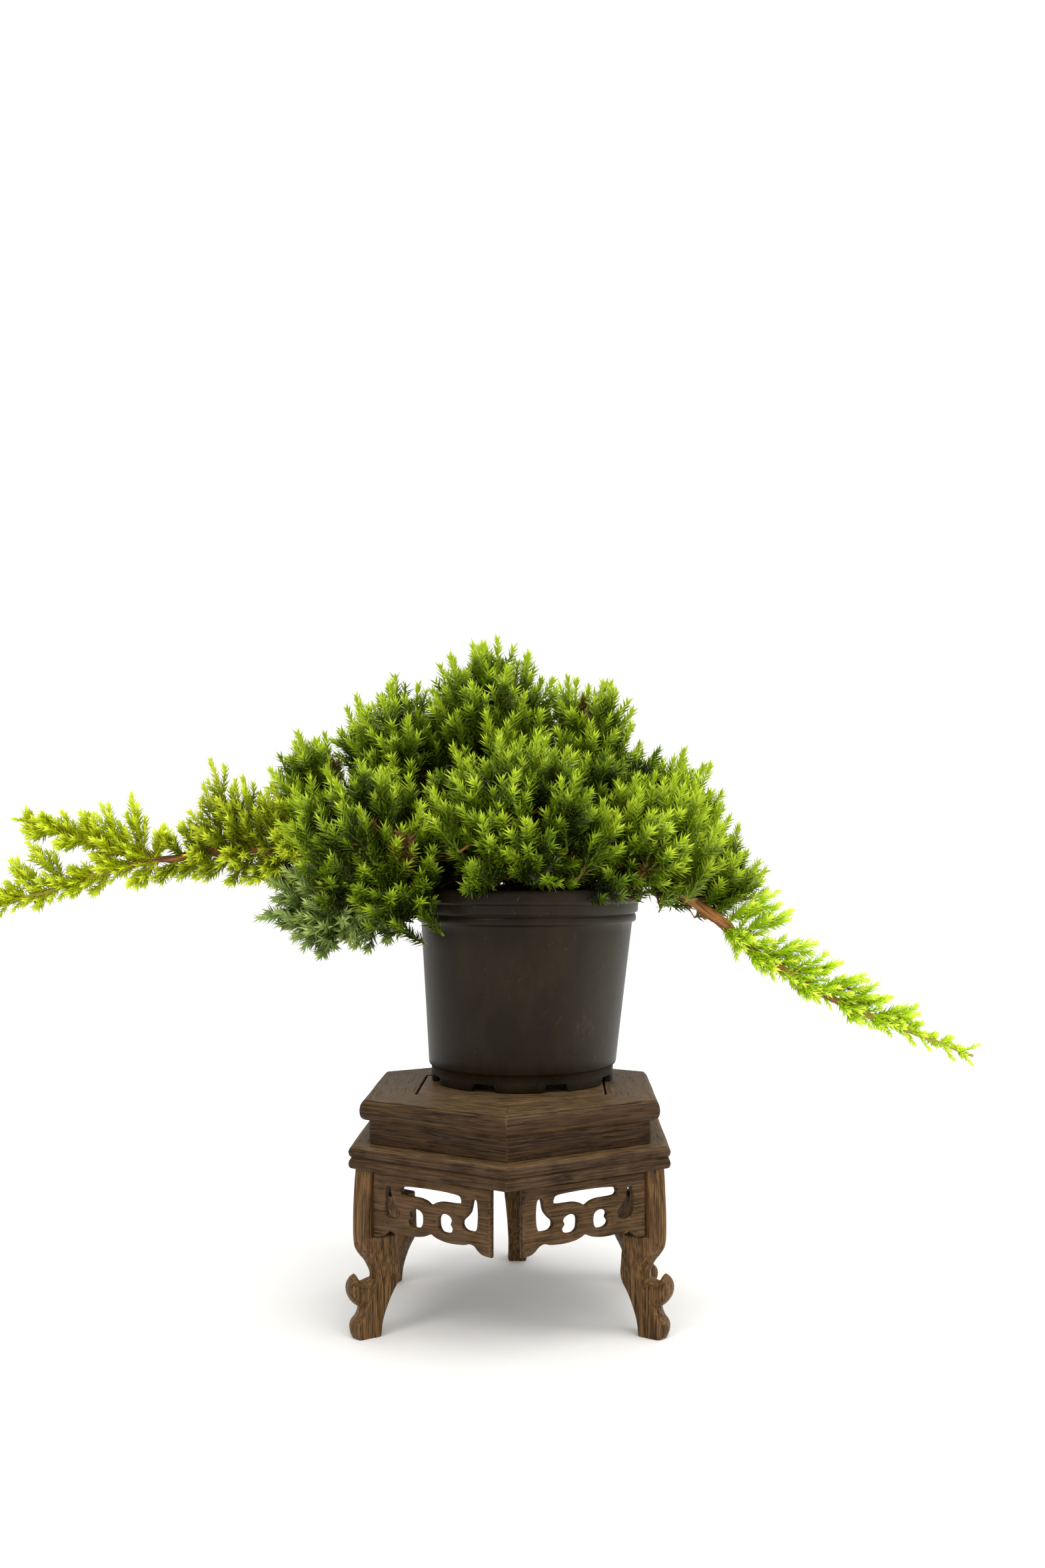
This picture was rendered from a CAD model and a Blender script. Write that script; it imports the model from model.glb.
"""Looks of a low spreading juniper in a black nursery pot on a carved hexagonal stand."""

import functools
import math

import bmesh
import bpy
import numpy as np
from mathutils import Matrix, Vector


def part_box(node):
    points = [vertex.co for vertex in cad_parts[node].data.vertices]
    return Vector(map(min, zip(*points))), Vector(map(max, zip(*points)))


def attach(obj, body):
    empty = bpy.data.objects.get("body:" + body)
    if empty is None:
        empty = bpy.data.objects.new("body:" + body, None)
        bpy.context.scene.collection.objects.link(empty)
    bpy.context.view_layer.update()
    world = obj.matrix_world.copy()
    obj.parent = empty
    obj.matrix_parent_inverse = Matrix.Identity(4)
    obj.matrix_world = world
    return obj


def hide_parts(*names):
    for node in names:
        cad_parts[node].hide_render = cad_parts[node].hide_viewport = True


bl_info = {
    "name": "Potted juniper on a carved stand",
    "version": (1, 0, 0),
    "blender": (4, 5, 0),
    "location": "View3D > Sidebar > Juniper",
    "description": "Builds the stand, the pot, the soil, the limbs and the needles of a potted juniper",
    "category": "Add Mesh",
}

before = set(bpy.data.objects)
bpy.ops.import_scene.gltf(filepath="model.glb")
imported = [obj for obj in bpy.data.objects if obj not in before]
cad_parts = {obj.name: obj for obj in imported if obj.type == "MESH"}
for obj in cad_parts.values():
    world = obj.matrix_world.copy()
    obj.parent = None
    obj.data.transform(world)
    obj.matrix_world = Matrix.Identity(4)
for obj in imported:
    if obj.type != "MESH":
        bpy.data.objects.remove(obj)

MM = 0.001
SIDES = 6              # of the stand
COS30 = math.cos(math.pi / 6)
TAN30 = math.tan(math.pi / 6)
GAP = 0.35 * MM        # between two boards at a mitre
POT_LEAN = 0.03        # how far the pot's axis moves along X for each unit of height
LIP_LEVEL = 0.137      # height of the lip over the pot's base, where the pot is widest
LIP_REACH = 0.085      # the lip's radius
GOLDEN_ANGLE = math.pi * (3 - math.sqrt(5))
FINE = "fine_"         # starts the name of each material made here, so that none meets one of the frame's


def box_middle(node):
    """Middle of a node's box."""
    low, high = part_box(node)
    return (np.array(low) + np.array(high)) / 2


STAND_MIDDLE = box_middle("top_panel") * (1, 1, 0)
POT_LOW, POT_HIGH = (np.array(corner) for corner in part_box("nursery_pot"))
POT_HEIGHT = POT_HIGH[2] - POT_LOW[2]
POT_BASE = np.array([
    (POT_LOW[0] + POT_HIGH[0]) / 2 - POT_LEAN * LIP_LEVEL,
    (POT_LOW[1] + POT_HIGH[1]) / 2,
    POT_LOW[2],
])
PLANT_HEART = STAND_MIDDLE + (0, 0.029, 0.33)     # the place that the mound's shoots point away from
UP = np.array([0, 0, 1.0])

# ------------------------------------------------------------------ limbs and foliage masses

# Each limb: the points that its centre line goes through, from the stand's middle, and the radii along
# it, all in millimetres.
LIMBS = {
    "trunk": ([(10, 29, 246), (10, 27, 286), (4, 28, 318), (-4, 31, 345)], (12, 11, 10, 8)),
    "branch_left_trailing": (
        [(4, 28, 318), (-60, 12, 322), (-126, 0, 331), (-196, -6, 331), (-267, -10, 322),
         (-325, -14, 304), (-388, -18, 284)],
        (7, 5, 4, 3.4, 2.4, 1.6, 1.1),
    ),
    "branch_right_trailing": (
        [(8, 27, 300), (60, 6, 316), (110, -5, 306), (146, -10, 283), (172, -12, 259),
         (225, -14, 228), (280, -14, 203), (330, -14, 185)],
        (7, 5.4, 4.4, 4, 3.2, 2.4, 1.6, 1.1),
    ),
    "branch_crown": ([(-3, 30, 340), (-12, 32, 385), (-18, 30, 430), (-14, 30, 470)], (6.5, 4.5, 3, 1.6)),
    "branch_crown_left": (
        [(-2, 30, 334), (-45, 26, 368), (-80, 26, 405), (-90, 26, 436)], (5.5, 4, 3, 1.6)),
    "branch_crown_right": (
        [(0, 30, 330), (30, 34, 372), (48, 36, 412), (54, 36, 446)], (5.5, 4, 3, 1.6)),
    "branch_left_upper": (
        [(-70, 10, 323), (-112, 10, 352), (-146, 10, 380), (-160, 10, 404)], (4, 3.4, 2.6, 1.6)),
    "branch_right_upper": (
        [(4, 28, 312), (50, 28, 338), (100, 30, 362), (128, 30, 380)], (5.5, 4, 3, 1.6)),
    "branch_front": ([(6, 28, 305), (8, -20, 322), (8, -55, 346), (8, -76, 368)], (6, 4.4, 3, 1.6)),
    "branch_front_left": (
        [(2, 24, 308), (-36, -12, 326), (-76, -38, 342), (-104, -52, 352)], (5.5, 4, 3, 1.6)),
    "branch_hanging_left": (
        [(-60, 12, 320), (-94, -8, 306), (-130, -12, 290), (-158, -14, 280)], (4, 3.2, 2.4, 1.4)),
    "branch_back": ([(5, 30, 312), (2, 78, 338), (-2, 118, 362), (-4, 140, 380)], (6, 4.4, 3, 1.6)),
}
FORK = ([(-262, -10, 322.5), (-305, -8, 338), (-350, -6, 353)], (2, 1.6, 1.1))

# Each foliage mass: the limb that carries it, how far its tone is shifted, its kind of needle colour,
# and the part of its box that the shoots' tips reach.
MASSES = {
    "foliage_crown": ("branch_crown", -0.02, "green", 0.96),
    "foliage_crown_left": ("branch_crown_left", -0.02, "green", 0.94),
    "foliage_crown_right": ("branch_crown_right", 0.00, "green", 0.88),
    "foliage_left_upper": ("branch_left_upper", 0.04, "green", 0.86),
    "foliage_right_upper": ("branch_right_upper", 0.14, "green", 0.84),
    "foliage_front": ("branch_front", -0.07, "green", 0.98),
    "foliage_front_left": ("branch_front_left", -0.06, "green", 0.98),
    "foliage_front_right": ("branch_right_trailing", 0.16, "green", 0.90),
    "foliage_hanging_left": ("branch_hanging_left", 0.00, "blue", 0.95),
    "foliage_right_lower": ("branch_right_trailing", 0.22, "green", 0.82),
    "foliage_back_left": ("branch_back", -0.04, "green", 0.92),
    "foliage_back_right": ("branch_back", -0.04, "green", 0.90),
}


# ------------------------------------------------------------------ small maths

def unit(vectors):
    """Each vector divided by its own length."""
    return vectors / np.maximum(np.linalg.norm(vectors, axis=-1, keepdims=True), 1e-12)


def smoothstep(low, high, value):
    """Zero at low, one at high, 3t^2 - 2t^3 between them, and held beyond them."""
    t = np.clip((value - low) / (high - low), 0, 1)
    return t * t * (3 - 2 * t)


def full_turn(count):
    """Even angles round a full turn, from zero."""
    return np.linspace(0, 2 * math.pi, count, endpoint=False)


def square_directions(heading):
    """Two directions square to each heading and to each other: the heading crossed with the upright, or
    with the X axis where it is nearly upright itself, and the heading crossed with that."""
    helper = np.where(np.abs(heading[..., 2:]) > 0.9, (1.0, 0.0, 0.0), (0.0, 0.0, 1.0))
    first = unit(np.cross(heading, helper))
    return first, np.cross(heading, first)


def around(directions, turn):
    """The direction at an angle between the first and the second of two square directions."""
    return directions[0] * np.cos(turn)[:, None] + directions[1] * np.sin(turn)[:, None]


def distance_along(path):
    """Distance along a path from its start to each of its points."""
    return np.concatenate([[0], np.cumsum(np.linalg.norm(np.diff(path, axis=0), axis=1))])


def smooth_path(points, count):
    """A path through the given points: on each stretch the Catmull-Rom cubic of its four nearest points,
    read at count even steps of the path's parameter."""
    knots = np.asarray(points, float)
    padded = np.vstack([2 * knots[0] - knots[1], knots, 2 * knots[-1] - knots[-2]])
    along = np.linspace(0, len(knots) - 1, count)
    stretch = np.minimum(along.astype(int), len(knots) - 2)
    t = (along - stretch)[:, None]
    before, start, end, after = (padded[stretch + k] for k in range(4))
    return 0.5 * (
        2 * start + (end - before) * t + (2 * before - 5 * start + 4 * end - after) * t**2
        + (3 * start - before - 3 * end + after) * t**3
    )


def spread(values, count):
    """The values stretched to count even steps, straight between neighbours."""
    return np.interp(np.linspace(0, 1, count), np.linspace(0, 1, len(values)), values)


def ripple(points, scale, seed):
    """A smooth random field: a sum of eight sine waves in random directions, between about -1 and 1."""
    rng = np.random.default_rng(seed)
    waves = rng.normal(size=(8, 3)) * scale
    phase = rng.uniform(0, 2 * math.pi, 8)
    return np.sin(points @ waves.T + phase).sum(-1) / 4


def rotate_z(points, angle):
    """Points turned about the vertical axis."""
    c, s = math.cos(angle), math.sin(angle)
    x, y = points[..., 0], points[..., 1]
    return np.stack([c * x - s * y, s * x + c * y, points[..., 2]], -1)


# ------------------------------------------------------------------ meshes

def tube_faces(rows, columns):
    """Faces of a closed tube whose points are rows of rings: quads between neighbouring points, one
    many-sided face over the first ring and one over the last."""
    row, column = np.meshgrid(np.arange(rows - 1), np.arange(columns), indexing="ij")
    here = row * columns + column
    beside = row * columns + (column + 1) % columns
    quads = np.stack([here, beside, beside + columns, here + columns], -1).reshape(-1, 4)
    ring = np.arange(columns)
    return [quads, ring[::-1][None], (ring + (rows - 1) * columns)[None]]


def outward_faces(points, faces):
    """The faces turned round where the closed shape's volume, the sum of its corner triple products, is
    negative."""
    total = 0.0
    for block in faces:
        for k in range(1, block.shape[1] - 1):
            a, b, c = points[block[:, 0]], points[block[:, k]], points[block[:, k + 1]]
            total += np.einsum("ij,ij->", a - points[0], np.cross(b - points[0], c - points[0]))
    return faces if total >= 0 else [block[:, ::-1] for block in faces]


def closed_tube(rows):
    """Rows of rings as a list of points and the faces of the closed tube, turned outwards."""
    points = rows.reshape(-1, 3)
    return points, outward_faces(points, tube_faces(*rows.shape[:2]))


def make_piece(name, points, faces, material, slot_name, replaced=(), smooth=True, crisp=None, uv=None,
               **attributes):
    """Puts a closed mesh into the scene as a piece of the object, with its material, its slot and the
    nodes that it stands for. On a smooth piece, edges sharper than the crisp angle, in degrees, stay
    sharp."""
    mesh = bpy.data.meshes.new(name)
    corners = np.concatenate([f.ravel() for f in faces]).astype(np.int32)
    sizes = np.concatenate([np.full(len(f), f.shape[1]) for f in faces])
    starts = np.concatenate([[0], np.cumsum(sizes)[:-1]]).astype(np.int32)
    mesh.vertices.add(len(points))
    mesh.vertices.foreach_set("co", np.ascontiguousarray(points, np.float32).ravel())
    mesh.loops.add(len(corners))
    mesh.loops.foreach_set("vertex_index", corners)
    mesh.polygons.add(len(sizes))
    mesh.polygons.foreach_set("loop_start", starts)
    mesh.polygons.foreach_set("use_smooth", np.full(len(sizes), smooth))
    mesh.update(calc_edges=True)
    for key, values in attributes.items():
        kind = "FLOAT_VECTOR" if values.ndim == 2 else "FLOAT"
        layer = mesh.attributes.new(key, kind, "POINT")
        field = "vector" if values.ndim == 2 else "value"
        layer.data.foreach_set(field, np.ascontiguousarray(values, np.float32).ravel())
    if uv is not None:
        layer = mesh.uv_layers.new(name="OFBake")
        layer.data.foreach_set("uv", np.ascontiguousarray(uv[corners], np.float32).ravel())
    mesh.materials.append(material)
    if crisp is not None:
        mesh.set_sharp_from_angle(angle=math.radians(crisp))
    piece = bpy.data.objects.new(name, mesh)
    bpy.context.scene.collection.objects.link(piece)
    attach(piece, "root")
    if replaced:
        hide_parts(*replaced)


def sweep_rings(path, radii, sides, lump):
    """Rings round a path: centre + lump * radius * (cos a * first + sin a * second), where first and
    second are the two directions square to the path, and lump is a function of the place on the plain
    ring."""
    tangent = unit(np.gradient(path, axis=0))
    helper = np.eye(3)[int(np.argmin(np.abs(path[-1] - path[0])))]
    first = unit(np.cross(tangent, helper))
    second = np.cross(tangent, first)
    turn = full_turn(sides)
    ring = first[:, None] * np.cos(turn)[:, None] + second[:, None] * np.sin(turn)[:, None]
    size = np.broadcast_to(radii[:, None], ring.shape[:2])
    size = size * lump(path[:, None] + ring * size[..., None])
    return path[:, None] + ring * size[..., None]


# ------------------------------------------------------------------ node helpers

def add_node(tree, kind, inputs=None, **settings):
    """A shader node with its settings; inputs maps a socket to a value or to another node's output."""
    made = tree.nodes.new(kind)
    for key, value in settings.items():
        setattr(made, key, value)
    for key, value in (inputs or {}).items():
        if isinstance(value, bpy.types.NodeSocket):
            tree.links.new(value, made.inputs[key])
        else:
            made.inputs[key].default_value = value
    return made


def lay_over(tree, colour, *layers):
    """The colour with each layer, a pair of a mask and a colour, mixed over it in turn."""
    for mask, over in layers:
        mixed = add_node(tree, "ShaderNodeMix", {0: mask, 6: colour, 7: over}, data_type="RGBA")
        colour = mixed.outputs[2]
    return colour


def calculate(tree, operation, first, *others):
    """Result of Math nodes of one operation, one after another."""
    for other in others:
        first = add_node(tree, "ShaderNodeMath", {0: first, 1: other}, operation=operation).outputs[0]
    return first


def times(tree, *values):
    """The product of two or more values."""
    return calculate(tree, "MULTIPLY", *values)


def object_place(tree):
    """The place on the piece in Object coordinates."""
    return add_node(tree, "ShaderNodeTexCoord").outputs["Object"]


def read_attribute(tree, name, output="Fac"):
    """A piece's own attribute."""
    return add_node(tree, "ShaderNodeAttribute", attribute_name=name).outputs[output]


def ramp_between(tree, value, low, high):
    """The value mapped so that low gives 0 and high gives 1, held at the ends."""
    made = add_node(tree, "ShaderNodeMapRange", {"Value": value, "From Min": low, "From Max": high},
                    interpolation_type="SMOOTHSTEP")
    return made.outputs["Result"]


def stretched_noise(tree, vector, stretch, scale, detail=4.0, roughness=0.55):
    """Noise read at a place whose three coordinates are first multiplied by the stretch."""
    scaled = add_node(tree, "ShaderNodeVectorMath", {0: vector, 1: stretch}, operation="MULTIPLY")
    made = add_node(tree, "ShaderNodeTexNoise", {
        "Vector": scaled.outputs[0], "Scale": scale, "Detail": detail, "Roughness": roughness})
    return made.outputs["Fac"]


def new_group(name, takes, gives):
    """An empty shader node group with named sockets."""
    tree = bpy.data.node_groups.new(name, "ShaderNodeTree")
    for label, kind, default in takes:
        tree.interface.new_socket(label, in_out="INPUT", socket_type=kind).default_value = default
    for label, kind in gives:
        tree.interface.new_socket(label, in_out="OUTPUT", socket_type=kind)
    return tree, tree.nodes.new("NodeGroupInput").outputs, tree.nodes.new("NodeGroupOutput").inputs


def feed(tree, source, target):
    """Links an output to an input."""
    tree.links.new(source, target)


def wood_group():
    """Open-pored hardwood: long dark pores and pale fibre bands along the grain, dust on faces that look
    up."""
    if "hardwood" in bpy.data.node_groups:
        return bpy.data.node_groups["hardwood"]
    tree, take, give = new_group("hardwood", [
        ("Dark", "NodeSocketColor", (0.02, 0.011, 0.007, 1)),
        ("Middle", "NodeSocketColor", (0.07, 0.04, 0.024, 1)),
        ("Light", "NodeSocketColor", (0.16, 0.09, 0.05, 1)),
        ("Dust", "NodeSocketFloat", 0.5),
    ], [("Color", "NodeSocketColor"), ("Roughness", "NodeSocketFloat"), ("Height", "NodeSocketFloat")])
    grain = read_attribute(tree, "grain", "Vector")
    bend = stretched_noise(tree, grain, (6, 22, 22), 1.0, 2.0)
    shift = add_node(tree, "ShaderNodeCombineXYZ", {"Y": times(tree, bend, 0.012)}).outputs[0]
    bent = add_node(tree, "ShaderNodeVectorMath", {0: grain, 1: shift}, operation="ADD").outputs[0]
    bands = ramp_between(tree, stretched_noise(tree, bent, (6, 260, 260), 1.0, 3.0, 0.6), 0.36, 0.66)
    fibres = stretched_noise(tree, bent, (26, 900, 900), 1.0, 3.0, 0.65)
    streak = times(tree, ramp_between(tree, fibres, 0.42, 0.66), 0.8)
    pore = ramp_between(tree, stretched_noise(tree, bent, (55, 1100, 1100), 1.0, 1.0, 0.5), 0.60, 0.70)
    patch = ramp_between(tree, stretched_noise(tree, object_place(tree), (1, 1, 1), 55.0, 4.0), 0.35, 0.65)
    worn = times(tree, read_attribute(tree, "edge"), patch, 0.45)
    normal = add_node(tree, "ShaderNodeNewGeometry").outputs["Normal"]
    up = add_node(tree, "ShaderNodeSeparateXYZ", {0: normal}).outputs["Z"]
    facing = ramp_between(tree, up, 0.55, 0.98)
    speck = ramp_between(tree, stretched_noise(tree, grain, (60, 420, 420), 1.0, 5.0, 0.7), 0.25, 0.75)
    dusty = times(tree, facing, speck, take["Dust"])
    worn_wood, dust = (0.20, 0.115, 0.06, 1), (0.27, 0.175, 0.085, 1)
    feed(tree, lay_over(
        tree, take["Dark"], (bands, take["Middle"]), (streak, take["Light"]),
        (times(tree, pore, 0.75), take["Dark"]), (worn, worn_wood), (dusty, dust)), give["Color"])
    rough = calculate(tree, "ADD", times(tree, pore, 0.25), 0.42, times(tree, dusty, 0.4))
    feed(tree, rough, give["Roughness"])
    feed(tree, calculate(tree, "SUBTRACT", times(tree, fibres, 0.5), pore), give["Height"])
    return tree


def needle_group():
    """Needle colour from the needle's own map: across the map's height it goes from bark and dead brown to
    old dark green, fresh green and yellow-green tips; along each needle the root is paler and the point
    yellower."""
    if "needle_colour" in bpy.data.node_groups:
        return bpy.data.node_groups["needle_colour"]
    tree, take, give = new_group("needle_colour", [
        ("Bark", "NodeSocketColor", (0.30, 0.13, 0.04, 1)),
        ("Dead", "NodeSocketColor", (0.17, 0.075, 0.030, 1)),
        ("Old", "NodeSocketColor", (0.02, 0.055, 0.012, 1)),
        ("Fresh", "NodeSocketColor", (0.09, 0.23, 0.02, 1)),
        ("Tip", "NodeSocketColor", (0.42, 0.62, 0.06, 1)),
    ], [("Color", "NodeSocketColor")])
    where = add_node(tree, "ShaderNodeUVMap", uv_map="OFBake").outputs["UV"]
    apart = add_node(tree, "ShaderNodeSeparateXYZ", {0: where})
    along, tone = apart.outputs["X"], apart.outputs["Y"]
    living = ramp_between(tree, tone, 0.13, 0.3)
    root = times(tree, ramp_between(tree, along, 0.30, 0.0), 0.35, living)
    point = times(tree, ramp_between(tree, along, 0.55, 1.0), 0.4, living)
    pale_root = (0.30, 0.38, 0.05, 1)
    feed(tree, lay_over(
        tree, take["Bark"],
        (ramp_between(tree, tone, 0.060, 0.066), take["Dead"]),
        (ramp_between(tree, tone, 0.120, 0.126), take["Old"]),
        (ramp_between(tree, tone, 0.14, 0.58), take["Fresh"]),
        (ramp_between(tree, tone, 0.55, 1.0), take["Tip"]),
        (root, pale_root), (point, take["Tip"])), give["Color"])
    return tree


def made_once(build):
    """Lets a function that makes a material of a given name return the one that is there already."""
    @functools.wraps(build)
    def find_or_build(name, *details):
        return bpy.data.materials.get(FINE + name) or build(name, *details)
    return find_or_build


def new_material(name, roughness=0.5):
    """A material with an empty Principled surface."""
    material = bpy.data.materials.new(FINE + name)
    material.use_nodes = True
    tree = material.node_tree
    tree.nodes.clear()
    surface = add_node(tree, "ShaderNodeBsdfPrincipled", {"Roughness": roughness})
    output = tree.nodes.new("ShaderNodeOutputMaterial")
    feed(tree, surface.outputs["BSDF"], output.inputs["Surface"])
    return material, tree, surface


def add_bump(tree, surface, height, strength, distance):
    """Bumps the surface by a height."""
    bump = add_node(tree, "ShaderNodeBump", {"Height": height, "Strength": strength, "Distance": distance})
    feed(tree, bump.outputs["Normal"], surface.inputs["Normal"])


def rgba(colour):
    """A colour property as a tuple of four numbers."""
    return (*tuple(colour)[:3], 1.0)


@made_once
def wood_material(name, dark, middle, light, dust):
    """Hardwood with its own three tones and its own share of dust."""
    material, tree, surface = new_material(name)
    wood = add_node(tree, "ShaderNodeGroup", {"Dark": dark, "Middle": middle, "Light": light, "Dust": dust},
                    node_tree=wood_group())
    feed(tree, wood.outputs["Color"], surface.inputs["Base Color"])
    feed(tree, wood.outputs["Roughness"], surface.inputs["Roughness"])
    surface.inputs["Specular IOR Level"].default_value = 0.12
    add_bump(tree, surface, wood.outputs["Height"], 0.6, 0.0004)
    return material


def dark_wood():
    """The dark wood of the panel and the rings."""
    tones = bpy.context.scene.juniper_stand
    return wood_material("stand_dark_wood", rgba(tones.dark), rgba(tones.middle), rgba(tones.light), 0.6)


def carved_wood(name="stand_leg_wood", strength=1.0):
    """The golden wood of the legs; the aprons, which stand further in the shade, take less of it."""
    tones = bpy.context.scene.juniper_stand
    dark, middle, light = (
        (*(np.array(tone) * strength), 1.0)
        for tone in (tones.carved_dark, tones.carved_middle, tones.carved_light))
    return wood_material(name, dark, middle, light, 0.35)


@made_once
def pot_plastic(name):
    """Black moulded plastic: a dusty film in soft clouds, dried mud and haze on the right side, thin
    scratches and pale spots."""
    settings = bpy.context.scene.juniper_pot
    material, tree, surface = new_material(name)
    where = object_place(tree)
    cloud = stretched_noise(tree, where, (1, 1, 0.5), 34.0, 6.0, 0.62)
    fine = stretched_noise(tree, where, (1, 1, 1), 260.0, 4.0, 0.7)
    film = times(tree, ramp_between(tree, cloud, 0.30, 0.80), settings.dust)
    right = add_node(tree, "ShaderNodeSeparateXYZ", {0: where}).outputs["X"]
    side = ramp_between(tree, right, POT_BASE[0] - 0.01, POT_BASE[0] + 0.05)
    smear = ramp_between(tree, stretched_noise(tree, where, (1, 1, 0.6), 46.0, 7.0, 0.7), 0.56, 0.70)
    mud = times(tree, smear, side, 0.55)
    tilted = add_node(tree, "ShaderNodeMapping", {"Vector": where, "Rotation": (0.5, 0.9, 0.3)}).outputs[0]
    thin = ramp_between(tree, stretched_noise(tree, tilted, (30, 900, 900), 1.0, 2.0, 0.5), 0.66, 0.74)
    sparse = ramp_between(tree, stretched_noise(tree, where, (1, 1, 1), 38.0, 2.0), 0.52, 0.64)
    scratch = times(tree, thin, sparse, 0.45)
    haze = times(tree, ramp_between(tree, right, POT_BASE[0] + 0.02, POT_BASE[0] + 0.08), 0.5)
    spots = times(tree, ramp_between(tree, fine, 0.68, 0.74), ramp_between(tree, cloud, 0.48, 0.62), 0.6)
    feed(tree, lay_over(
        tree, rgba(settings.colour),
        (film, (0.036, 0.027, 0.013, 1)), (mud, (0.075, 0.050, 0.032, 1)),
        (scratch, (0.105, 0.090, 0.068, 1)), (haze, (0.070, 0.066, 0.052, 1)),
        (spots, (0.16, 0.12, 0.085, 1))), surface.inputs["Base Color"])
    rough = calculate(tree, "ADD", times(tree, cloud, 0.30), 0.24)
    feed(tree, rough, surface.inputs["Roughness"])
    surface.inputs["Specular IOR Level"].default_value = 0.11
    add_bump(tree, surface, calculate(tree, "ADD", times(tree, fine, 0.2), cloud), 0.15, 0.001)
    return material


@made_once
def earth(name, deep, raised, scale):
    """Soil or perlite: lumpy noise goes from the colour of the hollows to that of the raised bits, and
    bumps the surface."""
    material, tree, surface = new_material(name, 0.95)
    crumb = stretched_noise(tree, object_place(tree), (1, 1, 1), scale, 6.0, 0.7)
    feed(tree, lay_over(tree, deep, (ramp_between(tree, crumb, 0.35, 0.7), raised)),
         surface.inputs["Base Color"])
    add_bump(tree, surface, crumb, 0.9, 0.0012)
    return material


@made_once
def bark_material(name):
    """Papery bark: orange-brown strips along the limb with dark cracks and pale flakes, yellow-green where
    the limb is young."""
    settings = bpy.context.scene.juniper_plant
    material, tree, surface = new_material(name, 0.75)
    grain = read_attribute(tree, "grain", "Vector")
    strips = stretched_noise(tree, grain, (45, 520, 520), 1.0, 4.0, 0.65)
    flakes = stretched_noise(tree, grain, (160, 700, 700), 1.0, 3.0, 0.6)
    crack, flake, green = (0.075, 0.03, 0.013, 1), (0.52, 0.30, 0.13, 1), (0.42, 0.40, 0.04, 1)
    feed(tree, lay_over(
        tree, crack,
        (ramp_between(tree, strips, 0.35, 0.65), rgba(settings.bark)),
        (times(tree, ramp_between(tree, flakes, 0.58, 0.72), 0.6), flake),
        (times(tree, read_attribute(tree, "young"), 0.75), green)), surface.inputs["Base Color"])
    add_bump(tree, surface, strips, 0.8, 0.0012)
    return material


# Old, fresh and tip colour of the needles that don't take theirs from the settings: grey-green low on
# the left, fresh green where the left trailing limb leaves the mound, yellow further along it, and lime
# on the right one.
NEEDLE_TONES = {
    "blue": ((0.060, 0.095, 0.016, 1), (0.22, 0.33, 0.060, 1), (0.50, 0.62, 0.20, 1)),
    "fresh": ((0.085, 0.110, 0.003, 1), (0.31, 0.38, 0.006, 1), (0.66, 0.74, 0.04, 1)),
    "yellow": ((0.25, 0.29, 0.003, 1), (0.51, 0.60, 0.004, 1), (0.76, 0.86, 0.05, 1)),
    "lime": ((0.30, 0.46, 0.005, 1), (0.57, 0.82, 0.016, 1), (0.85, 0.97, 0.12, 1)),
}


@made_once
def needle_material(name, kind):
    """Needles of one kind."""
    settings = bpy.context.scene.juniper_plant
    green = rgba(settings.old_green), rgba(settings.fresh_green), rgba(settings.tip_green)
    material, tree, surface = new_material(name, 0.42)
    tones = dict(zip(("Old", "Fresh", "Tip"), NEEDLE_TONES.get(kind, green)))
    needle = add_node(tree, "ShaderNodeGroup", node_tree=needle_group())
    for socket, value in tones.items():
        needle.inputs[socket].default_value = value
    feed(tree, needle.outputs["Color"], surface.inputs["Base Color"])
    surface.inputs["Specular IOR Level"].default_value = 0.2
    return material


# ------------------------------------------------------------------ stand

def refine_profile(corners, radius, step):
    """A closed profile with each corner rounded by a quadratic curve that starts and ends at most radius
    away from it, and with the straights split so that no step is longer than the given one. Gives the
    points and how strongly the profile bends outwards at each."""
    corners = np.asarray(corners, float)
    back = np.roll(corners, 1, 0) - corners
    ahead = np.roll(corners, -1, 0) - corners
    reach_back = np.minimum(radius, 0.45 * np.linalg.norm(back, axis=1))[:, None]
    reach_ahead = np.minimum(radius, 0.45 * np.linalg.norm(ahead, axis=1))[:, None]
    start, end = corners + unit(back) * reach_back, corners + unit(ahead) * reach_ahead
    t = np.linspace(0, 1, 5)[None, :, None]
    arcs = (1 - t) ** 2 * start[:, None] + 2 * t * (1 - t) * corners[:, None] + t**2 * end[:, None]
    points = []
    for arc, following in zip(arcs, np.roll(start, -1, 0)):
        points.append(arc)
        pieces = int(np.linalg.norm(following - arc[-1]) // step)
        if pieces > 1:
            between = np.linspace(0, 1, pieces + 1)[1:-1, None]
            points.append(arc[-1] + (following - arc[-1]) * between)
    outline = np.concatenate(points)
    before, after = unit(outline - np.roll(outline, 1, 0)), unit(np.roll(outline, -1, 0) - outline)
    bend = before[:, 0] * after[:, 1] - before[:, 1] * after[:, 0]
    area = np.sum(outline[:, 0] * np.roll(outline[:, 1], -1) - np.roll(outline[:, 0], -1) * outline[:, 1])
    return outline, np.clip(bend * np.sign(area) * 3, 0, 1)


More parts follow.
